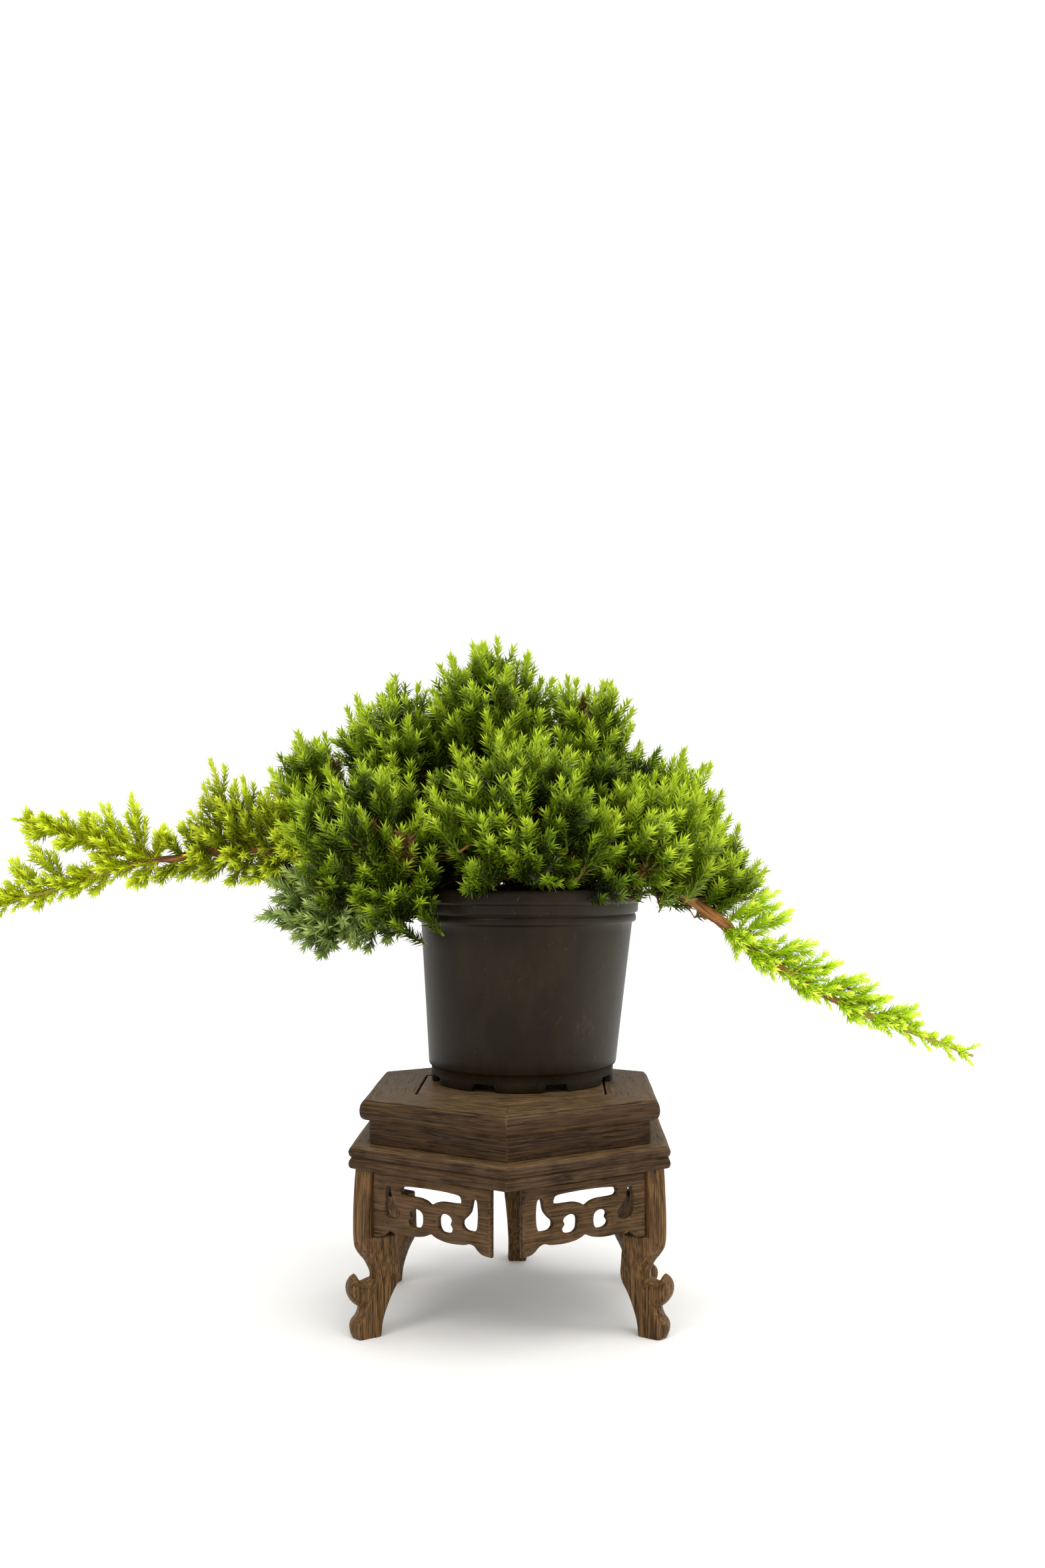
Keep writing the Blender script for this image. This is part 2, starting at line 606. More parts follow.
def mitred_side(profile, bend, side, seed):
    """One side of a hexagonal ring. A profile point (distance, height) and a place along the side, from -1
    to 1, give (distance, place * distance * tan 30, height), so both ends lie on the mitres. The outer
    face is bowed by a sine wave along the board, and the edges at the mitres are eased. Gives points,
    faces, grain coordinates and edge strength."""
    places = np.concatenate([[-1], np.linspace(-0.985, 0.985, 33), [1]])
    bow, nose_depth = 0.10 * MM, 6 * MM
    distance, height = profile[:, 0], profile[:, 1]
    along = places[:, None] * (distance * TAN30 - GAP / 2)
    ease = np.where(np.abs(places) == 1, GAP, 0)[:, None] * (bend > 0.02)
    wave = bow * np.sin(places[:, None] * 5 + seed) * (distance > distance.max() - nose_depth)
    rows = np.stack([np.broadcast_to(distance, along.shape) - ease + wave, along,
                     np.broadcast_to(height, along.shape)], -1)
    grain = rows[..., [1, 0, 2]] + seed * 0.731
    edge = np.broadcast_to(bend, along.shape) + 0.6 * (np.abs(places)[:, None] > 0.99)
    points, faces = closed_tube(rotate_z(rows, side * math.pi / 3) + STAND_MIDDLE)
    return points, faces, grain.reshape(-1, 3), np.clip(edge, 0, 1).ravel()


# Sections of the three rings' boards: distance from the stand's middle and height over the floor, in
# millimetres.
TOP_RAIL = [(60, 147.0), (98.8, 147.0), (101.0, 148.2), (102.2, 150.6), (102.5, 154), (101.9, 157.4),
            (100.7, 159.5), (99.7, 160.1), (99.3, 160.9), (98.5, 161.3), (66.7, 161.3), (66.7, 150.2),
            (60, 150.2)]
WAIST_BOARD = [(84, 130.8), (96.1, 130.8), (96.1, 146.6), (84, 146.6)]
SKIRT_RAIL = [(84, 114.8), (106.2, 114.8), (108.6, 115.7), (109.6, 118.2), (108.9, 121.0), (107.0, 122.5),
              (108.9, 124.0), (109.6, 126.7), (108.5, 129.4), (106.2, 130.5), (84, 130.5)]


def build_rings():
    """The three rings of mitred boards and the panel inside the top one."""
    rings = [("top_rail", TOP_RAIL, 0.9), ("waist_board", WAIST_BOARD, 0.6),
             ("skirt_rail", SKIRT_RAIL, 0.9)]
    for number, (ring, corners, rounding) in enumerate(rings):
        outline, bend = refine_profile(np.array(corners) * MM, rounding * MM, 2.5 * MM)
        for side in range(SIDES):
            seed = 1.7 * number + 0.93 * side + 0.2
            points, faces, grain, edge = mitred_side(outline, bend, side, seed)
            name = f"{ring}_{side + 1}"
            make_piece("shaped_" + name, points, faces, dark_wood(), "stand_dark_wood", [name], crisp=50,
                       grain=grain, edge=edge)
    build_panel()


def build_panel():
    """A hexagonal board: rows of six-sided rings, each ring's corner radius and height taken from a
    rounded outline, closed by a small hexagon at the middle of each face."""
    turn = full_turn(SIDES * 14)
    within = (turn % (math.pi / 3)) - math.pi / 6
    reach = COS30 / np.cos(within)
    lowest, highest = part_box("top_panel")
    corner, low, high = (highest[1] - lowest[1]) / 2, lowest[2], highest[2]
    radii = corner * np.array([0.02, 0.5, 0.985, 1.0, 1.0, 0.992, 0.97, 0.8, 0.6, 0.4, 0.2, 0.02])
    heights = np.array([low, low, low, low + 0.8 * MM, high - 1.2 * MM, high - 0.3 * MM, high] + [high] * 5)
    ring = np.stack([reach * np.cos(turn + math.pi / 6), reach * np.sin(turn + math.pi / 6)], -1)
    rows = np.concatenate([ring[None] * radii[:, None, None],
                           np.broadcast_to(heights[:, None, None], (len(radii), len(turn), 1))], -1)
    points, faces = closed_tube(rows + STAND_MIDDLE)
    edge = np.repeat((radii > corner * 0.965) * (heights > low + MM) * 0.8, len(turn))
    make_piece("shaped_top_panel", points, faces, dark_wood(), "stand_dark_wood", ["top_panel"], crisp=50,
               grain=points + 4.3, edge=edge)


# Half of the apron's lower edge from its middle to its end, and the pierced openings, in millimetres
# along the side and above the floor.
APRON_FACE, APRON_THICK = 103 * MM, 5.5 * MM
APRON_EDGE = [(0, 78.0), (2.5, 77.0), (6, 75.6), (12, 74.6), (19, 74.4), (26, 74.9), (30.5, 76.1),
              (34, 75.4), (37.5, 72.4), (41, 70.4), (47.4, 69.8)]
APRON_SLOT = [(-23.8, 104.4), (-21, 106.6), (-8, 107.4), (8, 107.4), (21, 106.6), (23.8, 104.4),
              (23.4, 101.6), (19, 100.8), (9, 100.6), (3.6, 99.2), (0, 97.4), (-3.6, 99.2), (-9, 100.6),
              (-19, 100.8), (-23.4, 101.6)]
APRON_INNER_HOLE = [(6.8, 90.4), (10.5, 92.9), (14.6, 92.2), (16.6, 89.8), (15.8, 87), (17.4, 84.4),
                    (16.2, 81.8), (12.6, 80.6), (8.6, 81.4), (6.6, 84.6)]
APRON_OUTER_HOLE = [(33.4, 105.2), (36.2, 104.2), (36.9, 96), (36.2, 87.4), (33.8, 84.7), (28.4, 84.7),
                    (25.4, 86.8), (25.4, 90.4), (28.6, 93.6), (31.4, 97.6)]


def closed_curve(points, count):
    """A smooth closed loop through the points: the Catmull-Rom path round them, cut to one turn."""
    ring = np.asarray(points, float)
    wrapped = np.vstack([ring[-2:], ring, ring[:3]])
    path = smooth_path(np.column_stack([wrapped, np.zeros(len(wrapped))]), (len(wrapped) - 1) * count + 1)
    return path[2 * count:(2 + len(ring)) * count, :2]


def apron_openings():
    """The slot, and two holes on each side of the middle."""
    openings = [closed_curve(APRON_SLOT, 5)]
    for hole in (APRON_INNER_HOLE, APRON_OUTER_HOLE):
        loop = closed_curve(hole, 6)
        openings += [loop, (loop * (-1, 1))[::-1]]
    return openings


def plate_mesh(outline, openings, thickness, rounding):
    """A flat filled outline with openings, given its thickness and a rounded edge by the curve's own
    extrude and bevel, then merged into one closed mesh."""
    curve = bpy.data.curves.new("plate", "CURVE")
    curve.dimensions, curve.fill_mode = "2D", "BOTH"
    curve.extrude, curve.bevel_depth, curve.bevel_resolution = thickness / 2 - rounding, rounding, 3
    curve.offset = -rounding
    for loop in [outline, *openings]:
        spline = curve.splines.new("POLY")
        spline.points.add(len(loop) - 1)
        flat = np.column_stack([loop, np.zeros(len(loop)), np.ones(len(loop))])
        spline.points.foreach_set("co", flat.ravel())
        spline.use_cyclic_u = True
    holder = bpy.data.objects.new("plate", curve)
    bpy.context.scene.collection.objects.link(holder)
    mesh = bpy.data.meshes.new_from_object(holder.evaluated_get(bpy.context.evaluated_depsgraph_get()))
    bpy.data.objects.remove(holder)
    bpy.data.curves.remove(curve)
    return mesh


def mesh_arrays(mesh):
    """A mesh's points and faces, with points that lie together merged."""
    work = bmesh.new()
    work.from_mesh(mesh)
    bmesh.ops.remove_doubles(work, verts=work.verts, dist=0.02 * MM)
    bmesh.ops.triangulate(work, faces=work.faces)
    bmesh.ops.recalc_face_normals(work, faces=work.faces)
    points = np.array([v.co[:] for v in work.verts])
    faces = np.array([[v.index for v in f.verts] for f in work.faces])
    work.free()
    bpy.data.meshes.remove(mesh)
    return points, faces


def build_aprons():
    """Six pierced aprons: the outline and its openings as a plate whose edges are rounded far in, so that
    the bars between the openings are nearly half round."""
    edge = np.array(APRON_EDGE)
    lower = np.vstack([edge[::-1] * (-1, 1), edge[1:]])
    steps = smooth_path(np.column_stack([lower, np.zeros(len(lower))]), 97)[:, :2]
    outline = np.vstack([steps, [(47.4, 114.5), (-47.4, 114.5)]]) * MM
    openings = [loop * MM for loop in apron_openings()]
    flat, faces = mesh_arrays(plate_mesh(outline, openings, APRON_THICK, 2.0 * MM))
    flat = flat + 0.18 * MM * ripple(flat * (1, 1, 3), 700.0, 5)[:, None] * (0, 0, 1)
    edge_wear = np.clip(1 - np.abs(flat[:, 2] - APRON_THICK / 2 + 0.5 * MM) / (0.9 * MM), 0, 1)
    for side in range(SIDES):
        local = np.stack([flat[:, 2] + APRON_FACE - APRON_THICK / 2, flat[:, 0], flat[:, 1]], -1)
        world = rotate_z(local, side * math.pi / 3) + STAND_MIDDLE
        name = f"apron_{side + 1}"
        make_piece("carved_" + name, world, [faces], carved_wood("stand_apron_wood", 0.55),
                   "stand_carved_wood", [name], crisp=40, grain=flat + 0.37 * (side + 1), edge=edge_wear)


# A leg by height, from the top: distance of its outer edge from the stand's middle, how far the outer
# corners fall back, half width there, then distance and half width in the middle of the flank and at
# the inside.
LEG_BODY = [
    (114.5, 121.0, 6.5, 11.3, 104.9, 5.8, 102.0, 5.0), (104, 122.0, 6.5, 11.3, 105.9, 5.8, 102, 5),
    (90, 122.9, 6.5, 11.3, 106.6, 5.8, 102, 5), (78, 123.0, 6.5, 11.3, 106.8, 5.8, 102, 5),
    (70.2, 122.9, 6.5, 11.3, 106.8, 5.8, 102, 5), (69.2, 122.8, 6.5, 11.3, 105, 11.2, 96.2, 10.6),
    (66, 122.6, 6.4, 11.4, 104, 11.4, 95.2, 10.8), (61, 121.6, 6.2, 11.1, 103, 11.1, 94.4, 10.6),
    (56, 118.6, 5.6, 10.5, 102, 10.5, 93.4, 10.1), (51.5, 115.0, 4.9, 9.8, 101, 9.8, 92.6, 9.4),
    (47, 112.6, 4.2, 9.1, 100.5, 9.1, 91.9, 8.8), (43, 111.0, 3.6, 8.6, 100, 8.6, 91.3, 8.3),
    (39, 110.8, 3.2, 8.1, 100, 8.1, 91.5, 7.9), (35, 112.0, 3.0, 7.8, 101.5, 7.8, 92.6, 7.6),
    (30, 114.0, 2.6, 7.6, 104, 7.6, 95.4, 7.5), (24.6, 116.6, 2.4, 7.6, 106.5, 7.6, 98.2, 7.5),
    (20.4, 118.8, 2.4, 7.6, 109, 7.6, 100.1, 7.5), (16.6, 119.7, 2.4, 7.6, 110.5, 7.6, 101.6, 7.5),
    (13.6, 121.2, 2.4, 7.7, 111.5, 7.6, 102.6, 7.5), (11, 123.6, 2.4, 7.8, 112.5, 7.7, 103.3, 7.5),
    (8, 124.8, 2.4, 7.9, 113, 7.7, 103.9, 7.5), (4, 124.6, 2.4, 7.8, 113, 7.7, 104.4, 7.5),
    (1.0, 123.4, 2.4, 7.5, 113, 7.4, 104.6, 7.3), (0, 122.6, 2.4, 7.2, 113, 7.1, 104.9, 7.0),
]
# Its upturned scroll, from the root inside the leg to the tip: distance and height of the inner edge,
# the same of the outer edge, and half width.
LEG_SCROLL = [
    (108, 39.6, 108, 22, 7.2), (112.5, 38.6, 115, 20.6, 7.5), (115.6, 37.6, 120.8, 22.4, 7.6),
    (117.6, 37.8, 124.6, 26.4, 7.5), (118.8, 38.8, 126.7, 31.4, 7.1), (119.8, 40.4, 126.7, 36.4, 6.0),
    (120.7, 42.2, 124.9, 40.6, 3.8), (121.7, 43.6, 122.7, 43.2, 1.2),
]


SCROLL_SIDES = 32
# Directions of the legs from the stand's middle, in degrees from the X axis; the front one is missing.
LEG_PLACES = {"front_right": -30, "back_right": 30, "back": 90, "back_left": 150, "front_left": 210}


def leg_body():
    """The leg without its scroll, as rows of seven-cornered sections: outer edge (R, 0), outer corners (R
    - fall, +-w), flank (m, +-n) and inside (i, +-j), all at the row's height."""
    height, outer, fall, wide, mid, mid_wide, inner, inner_wide = stretch_rows(LEG_BODY, 170).T * MM
    x = np.stack([outer, outer - fall, mid, inner, inner, mid, outer - fall], -1)
    y = np.stack([0 * outer, wide, mid_wide, inner_wide, -inner_wide, -mid_wide, -wide], -1)
    sections = np.stack([x, y, np.broadcast_to(height[:, None], x.shape)], -1)
    return round_rows(sections, 1.7 * MM)


def leg_scroll():
    """The scroll as rings: middle + C * half span + S * half width across, where C and S are the cosine
    and the sine of the angle drawn out to the power 0.7, which squares the ring off."""
    in_x, in_z, out_x, out_z, wide = stretch_rows(LEG_SCROLL, 44).T * MM
    turn = full_turn(SCROLL_SIDES)
    c, s = (np.sign(f) * np.abs(f) ** 0.7 for f in (np.cos(turn), np.sin(turn)))
    x = ((in_x + out_x) / 2)[:, None] + ((out_x - in_x) / 2)[:, None] * c
    z = ((in_z + out_z) / 2)[:, None] + ((out_z - in_z) / 2)[:, None] * c
    return np.stack([x, wide[:, None] * s, z], -1)


def stretch_rows(table, count):
    """Rows of a table of numbers, each column smoothed through its own values by the Catmull-Rom cubic."""
    table = np.array(table, float)
    return np.column_stack([smooth_path(table[:, [k, k, k]], count)[:, 0] for k in range(table.shape[1])])


def round_rows(rows, radius):
    """Every row's corners rounded by quadratic curves that start and end at most radius away from the
    corner; the straights between them get two points more."""
    back, ahead = np.roll(rows, 1, 1) - rows, np.roll(rows, -1, 1) - rows
    start = rows + unit(back) * np.minimum(radius, 0.4 * np.linalg.norm(back, axis=-1))[..., None]
    end = rows + unit(ahead) * np.minimum(radius, 0.4 * np.linalg.norm(ahead, axis=-1))[..., None]
    t = np.linspace(0, 1, 5)[:, None]
    arcs = ((1 - t) ** 2 * start[:, :, None] + 2 * t * (1 - t) * rows[:, :, None] + t**2 * end[:, :, None])
    following = np.roll(start, -1, 1)[:, :, None]
    middle = end[:, :, None] + (following - end[:, :, None]) * np.array([1 / 3, 2 / 3])[:, None]
    both = np.concatenate([arcs, middle], 2)
    return both.reshape(len(rows), -1, 3)


def build_legs():
    """The five legs that the stand still has, each with its scroll in the same piece."""
    body_wear = np.tile([0.2, 0.8, 1, 0.8, 0.2, 0, 0], 7)      # by the seven corners of a section
    parts, faces, wear, start = [], [], [], 0
    for rows, worn in ((leg_body(), body_wear), (leg_scroll(), np.full(SCROLL_SIDES, 0.3))):
        points, blocks = closed_tube(rows)
        faces += [block + start for block in blocks]
        parts.append(points)
        wear.append(np.tile(worn, len(rows)))
        start += len(points)
    base = np.concatenate(parts)
    base = base + 0.22 * MM * ripple(base, 150.0, 3)[:, None] * (1, 1, 0)
    for number, (where, degrees) in enumerate(LEG_PLACES.items()):
        world = rotate_z(base, math.radians(degrees)) + STAND_MIDDLE
        grain = base[:, [2, 1, 0]] + 0.59 * (number + 1)
        make_piece("carved_leg_" + where, world, faces, carved_wood(), "stand_carved_wood",
                   ["leg_" + where], crisp=60, grain=grain, edge=np.concatenate(wear))


# ------------------------------------------------------------------ pot and soil

# Section of the pot, from the middle of its underside over the lip to the middle of its floor: radius
# and height over its base, in millimetres.
POT_PROFILE = [(0.6, 6.2), (60.5, 6.0), (62.6, 5.6), (63.4, 3), (63.6, 0.5), (64.4, 0), (66.9, 0),
               (67.5, 0.8), (67.6, 6), (67.8, 11.2), (68.4, 12.0), (69.4, 12.5), (69.8, 13.4),
               (70.9, 27), (73.0, 52), (75.3, 79), (77.6, 106), (78.4, 116), (79.2, 117.2),
               (80.6, 117.5), (81.2, 118.4), (81.3, 120.6), (80.9, 122.4), (80.2, 123.2),
               (80.4, 124.0), (81.8, 124.3), (82.5, 125.2), (82.5, 130.2), (82.7, 131.2),
               (84.0, 131.7), (84.8, 132.6), (85.0, 134), (85.0, 139.0), (84.7, 140.8),
               (84.0, 141.8), (83.2, 142.0), (82.4, 141.6), (81.8, 140.4), (81.3, 133), (77.0, 117),
               (73, 70), (68.3, 14), (65.6, 6.9), (0.6, 6.7)]
NOTCHES, NOTCH_TOP = 8, 5.4       # notches of the foot ring, and the height that they reach
DENT_TURN, DENT_HEIGHT, DENT_DEPTH = math.radians(252), 78, 1.1
SOIL_RADIUS, SOIL_LEVEL = 78, 128


def build_pot():
    """The pot: a profile turned round the axis. Radius and height get a little more at each angle a: a
    wobble of the lip, a shallow dent in the wall and eight notches that lift the foot's lower edge.
    Then x gets lean * height."""
    outline = np.array(POT_PROFILE)
    fine = [outline[:1]]
    for start, end in zip(outline[:-1], outline[1:]):
        pieces = max(1, int(np.linalg.norm(end - start) // 5))
        fine.append(start + (end - start) * (np.arange(1, pieces + 1) / pieces)[:, None])
    profile = np.concatenate(fine)
    turn = full_turn(224)
    radius = np.broadcast_to(profile[:, :1], (len(profile), len(turn))).copy()
    height = np.broadcast_to(profile[:, 1:], radius.shape).copy()
    upper = height / outline[:, 1].max()
    radius += upper**3 * (0.5 * np.sin(2 * turn + 0.6) + 0.3 * np.sin(3 * turn + 2.0)) * (radius > 70)
    dent = np.exp(-(((turn - DENT_TURN) / 0.33) ** 2)) * np.exp(-(((height - DENT_HEIGHT) / 20) ** 2))
    radius -= DENT_DEPTH * dent * (radius > 60)
    phase = (turn * NOTCHES / (2 * math.pi)) % 1
    notch = smoothstep(0.32, 0.36, phase) * (1 - smoothstep(0.64, 0.68, phase))
    foot = (radius > 61) & (height < NOTCH_TOP)
    height = np.where(foot, height + (NOTCH_TOP - height) * notch, height)
    rows = np.stack([radius * np.cos(turn) + POT_LEAN * height, radius * np.sin(turn), height], -1)
    points, faces = closed_tube(rows * MM + POT_BASE)
    make_piece("pot_shell", points, faces, pot_plastic("pot_plastic"), "pot_plastic", ["nursery_pot"],
               crisp=45)


def soil_height(x, y):
    """Height of the soil over the pot's base at a place from the pot's axis, in millimetres: a shallow
    dome with two sizes of lumps."""
    where = np.stack([x, y, np.zeros_like(x)], -1)
    dome = SOIL_LEVEL - 3.5 * ((x**2 + y**2) / SOIL_RADIUS**2)
    return dome + 1.5 * ripple(where, 0.12, 11) + 0.9 * ripple(where, 0.45, 12)


def build_soil():
    """The soil: a disc of rings whose height is the lumpy dome, on a tapered plug, and loose crumbs on
    top."""
    turn = full_turn(120)
    plug_radius, plug_height = [0.8, 60, 67.6, 72, 76.3], [7.2, 7.2, 16, 64, 112]
    radius = np.concatenate([plug_radius, np.linspace(SOIL_RADIUS, 0.8, 34)])
    x, y = radius[:, None] * np.cos(turn), radius[:, None] * np.sin(turn)
    z = soil_height(x, y)
    z[:len(plug_height)] = np.array(plug_height)[:, None]
    points, faces = closed_tube(np.stack([x + POT_LEAN * z, y, z], -1) * MM + POT_BASE)
    soil = earth("soil", (0.006, 0.004, 0.003, 1), (0.05, 0.03, 0.02, 1), 420.0)
    make_piece("soil_bed", points, faces, soil, "soil", ["potting_soil"])
    scatter_crumbs("soil_crumbs", 420, (1.2, 3.2), soil, 21)
    perlite = earth("perlite", (0.45, 0.42, 0.38, 1), (0.8, 0.78, 0.74, 1), 600.0)
    scatter_crumbs("perlite_bits", 90, (1.0, 2.2), perlite, 22)


def scatter_crumbs(name, count, sizes, material, seed):
    """Loose crumbs: each an octahedron with its corners moved at random, lying on the soil."""
    rng = np.random.default_rng(seed)
    corners = np.array([(1, 0, 0), (0, 1, 0), (-1, 0, 0), (0, -1, 0), (0, 0, 1), (0, 0, -1)], float)
    faces = np.array([(0, 1, 4), (1, 2, 4), (2, 3, 4), (3, 0, 4),
                      (1, 0, 5), (2, 1, 5), (3, 2, 5), (0, 3, 5)])
    radius = (SOIL_RADIUS - 2) * np.sqrt(rng.uniform(0.05, 1, count))
    turn = rng.uniform(0, 2 * math.pi, count)
    x, y = radius * np.cos(turn), radius * np.sin(turn)
    size = rng.uniform(*sizes, count)
    z = soil_height(x, y) + size * 0.3
    shape = corners[None] * rng.uniform(0.6, 1.2, (count, 6, 3)) * size[:, None, None]
    shape = shape + rng.uniform(-0.15, 0.15, (count, 6, 3)) * size[:, None, None]
    points = (shape + np.stack([x + POT_LEAN * z, y, z], -1)[:, None]) * MM + POT_BASE
    blocks = faces[None] + (np.arange(count) * 6)[:, None, None]
    make_piece(name, points.reshape(-1, 3), [blocks.reshape(-1, 3)], material, "soil", smooth=False)


# ------------------------------------------------------------------ limbs

def limb_path(data, count):
    """A limb's centre line and its radii in metres, at count steps."""
    points, radii = data
    return smooth_path(points, count) * MM + STAND_MIDDLE, spread(radii, count) * MM


def limb_arrays(data, seed, sides=14):
    """A limb as points, faces, grain coordinates (along the limb, then round it) and youth: its centre
    line wanders a little, its radius swells and shrinks along it, and lumps of bark stand on it."""
    length = np.linalg.norm(np.diff(np.array(data[0], float), axis=0), axis=1).sum()
    count = max(12, int(length / 3))
    path, radii = limb_path(data, count)
    path = path + 0.8 * MM * np.stack([ripple(path, 90.0, seed + k) for k in range(3)], -1)
    swell = 1 + 0.10 * np.sin(np.linspace(0, length / 9, count) + seed)
    rows = sweep_rings(path, radii * swell, sides, lambda p: 1 + 0.10 * ripple(p, 900.0, seed + 7))
    turn = full_turn(sides)
    grain = np.stack([
        np.broadcast_to(distance_along(path)[:, None], rows.shape[:2]),
        np.cos(turn)[None] * radii[:, None],
        np.sin(turn)[None] * radii[:, None],
    ], -1) + 0.41 * (seed + 1)
    points, faces = closed_tube(rows)
    young = np.repeat(smoothstep(2.6 * MM, 1.4 * MM, radii), sides)
    return points, faces, grain.reshape(-1, 3), young


def build_limbs():
    """Trunk and limbs with bark; the long left limb has its fork in the same piece."""
    for number, (name, data) in enumerate(LIMBS.items()):
        points, faces, grain, young = limb_arrays(data, number)
        if name == "branch_left_trailing":
            more_points, more_faces, more_grain, more_young = limb_arrays(FORK, 40)
            faces = faces + [block + len(points) for block in more_faces]
            points, grain = np.vstack([points, more_points]), np.vstack([grain, more_grain])
            young = np.concatenate([young, more_young])
        make_piece("bark_" + name, points, faces, bark_material("bark"), "bark", [name], grain=grain,
                   young=young)


# ------------------------------------------------------------------ needles

BANDS = 64             # flat bands of the needle map, one tone each
DEAD_TONE = -0.5       # a shoot whose tone is under this bears dead needles only
TWIG_TONE = 0.03
BELLY = 0.36           # the widest place of a needle, as a part of its length


class Shoots:
    """Needle-bearing shoots, one per row of a table: where each starts, its direction, length, bend, tone,
    how long its needles are and how tightly they are set."""

    def __init__(self):
        self.parts = []

    def add(self, base, direction, length, bend, tone, full, tight=0.0):
        """Adds one shoot for each row of base; the other values may be one for all."""
        length, tone, full, tight = (
            np.broadcast_to(part, len(base)) for part in (length, tone, full, tight))
        bend = np.broadcast_to(bend, base.shape)
        self.parts.append(np.column_stack([base, unit(direction), length, bend, tone, full, tight]))

    def table(self):
        """All shoots so far, one per row."""
        return np.concatenate(self.parts)


def tone_uv(along, tone, side):
    """Map place of a needle's point: along the needle across the map, its tone's band up the map."""
    band = np.clip(np.floor(tone * BANDS), 0, BANDS - 1)
    up = (band + 0.5 + 0.42 * side) / BANDS
    return np.stack(np.broadcast_arrays(np.clip(along, 0, 1), up), -1)


def needle_arrays(table, rng, settings):
    """Needles on shoots. A shoot's axis is base + length * (t * direction + t^2 * bend). Every pitch along
    it stands a whorl of three needles, each whorl turned by a sixth of a turn from the one before;
    whorls crowd towards the tip. A needle leaves the axis at an opening angle that closes towards the
    tip. It is a slim four-faced wedge: its ridge runs from root to tip, and the edge under it, square
    to the ridge, is its widest place. Tones rise towards the shoot's tip, and dead needles stand low on
    the shoot."""
    base, direction = table[:, 0:3], table[:, 3:6]
    length, bend = table[:, 6], table[:, 7:10]
    tone, full, tight = table[:, 10], table[:, 11], table[:, 12]
    pitch = settings.whorl_pitch * (1 - 0.25 * tight)
    count = np.maximum(3, np.round(length / pitch)).astype(int)
    shoot = np.repeat(np.arange(len(table)), count)
    step = np.arange(count.sum()) - np.repeat(np.cumsum(count) - count, count)
    shoot, step = np.repeat(shoot, 3), np.repeat(step, 3)
    third = np.tile(np.arange(3), count.sum())
    t = 1 - (1 - (step + 0.6 + rng.uniform(-0.2, 0.2, len(step))) / (count[shoot] + 0.3)) ** 1.25
    curve = t[:, None] * direction[shoot] + t[:, None] ** 2 * bend[shoot]
    axis = base[shoot] + length[shoot, None] * curve
    tangent = unit(direction[shoot] + 2 * t[:, None] * bend[shoot])
    twist = rng.uniform(0, 2 * math.pi, len(table))[shoot]
    turn = twist + step * math.pi / 3 + third * 2 * math.pi / 3 + rng.normal(0, 0.18, len(step))
    radial = around(square_directions(tangent), turn)
    opening = np.radians(60 - 8 * t - 18 * smoothstep(0.85, 1.0, t)) * (1 - 0.45 * tight[shoot])
    opening = opening + rng.normal(0, 0.12, len(step))
    heading = tangent * np.cos(opening)[:, None] + radial * np.sin(opening)[:, None]
    side = unit(np.cross(heading, radial + 1e-6))
    keel = np.cross(side, heading)
    size = settings.needle_length * full[shoot] * (1 - 0.45 * tight[shoot])
    size = size * rng.uniform(0.82, 1.12, len(step)) * (1 - 0.18 * smoothstep(0.8, 1.0, t))
    width = settings.needle_width * 0.5 * (1 - 0.15 * tight[shoot]) * rng.uniform(0.85, 1.15, len(step))
    belly = axis + heading * (BELLY * size)[:, None] - keel * (0.55 * width)[:, None]
    tip = axis + (heading + 0.16 * tangent) * size[:, None]
    wide = side * width[:, None]
    points = np.stack([axis, belly - wide, belly + wide, tip], 1)
    shade = tone[shoot] + 0.62 * smoothstep(0.40, 1.0, t) - 0.16 + rng.normal(0, 0.06, len(step))
    shade = np.clip(shade, 0.14, 0.995)
    dead_share = settings.dead_share * (1 - smoothstep(0.0, 0.45, t)) + (tone[shoot] < DEAD_TONE)
    shade = np.where(rng.random(len(step)) < dead_share, rng.uniform(0.075, 0.115, len(step)), shade)
    along, sideways = np.array([0.0, BELLY, BELLY, 1.0]), np.array([0.0, -1.0, 1.0, 0.0])
    uv = tone_uv(np.broadcast_to(along, points.shape[:2]), shade[:, None], sideways)
    corners = np.array([(0, 3, 1), (0, 2, 3), (0, 1, 2), (3, 2, 1)])
    faces = corners[None] + (np.arange(len(points)) * 4)[:, None, None]
    return points.reshape(-1, 3), faces.reshape(-1, 3), uv.reshape(-1, 2)


def stem_arrays(starts, controls, ends, radius_start, radius_end, tone, sides=4, steps=4):
    """Thin closed stems, one per row: the quadratic curve from start to end pulled towards its control
    point, with a ring of sides at each step."""
    t = np.linspace(0, 1, steps)[None, :, None]
    path = (1 - t) ** 2 * starts[:, None] + 2 * t * (1 - t) * controls[:, None] + t**2 * ends[:, None]
    tangent = unit(2 * (1 - t) * (controls - starts)[:, None] + 2 * t * (ends - controls)[:, None] + 1e-9)
    first, second = square_directions(tangent)
    radius = (radius_start[:, None] * (1 - t[..., 0]) + radius_end[:, None] * t[..., 0])[..., None, None]
    turn = full_turn(sides)[:, None]
    ring = first[:, :, None] * np.cos(turn) + second[:, :, None] * np.sin(turn)
    rows = path[:, :, None] + radius * ring
    shift = (np.arange(len(starts)) * steps * sides)[:, None, None]
    faces = [(block[None] + shift).reshape(-1, block.shape[1]) for block in tube_faces(steps, sides)]
    uv = tone_uv(np.broadcast_to(np.linspace(0, 1, sides), rows.shape[:3]), tone[:, None, None], 0.0)
    uv = uv + np.stack([np.zeros(steps), np.linspace(-0.4, 0.4, steps) / BANDS], -1)[:, None]
    return rows.reshape(-1, 3), faces, uv.reshape(-1, 2)


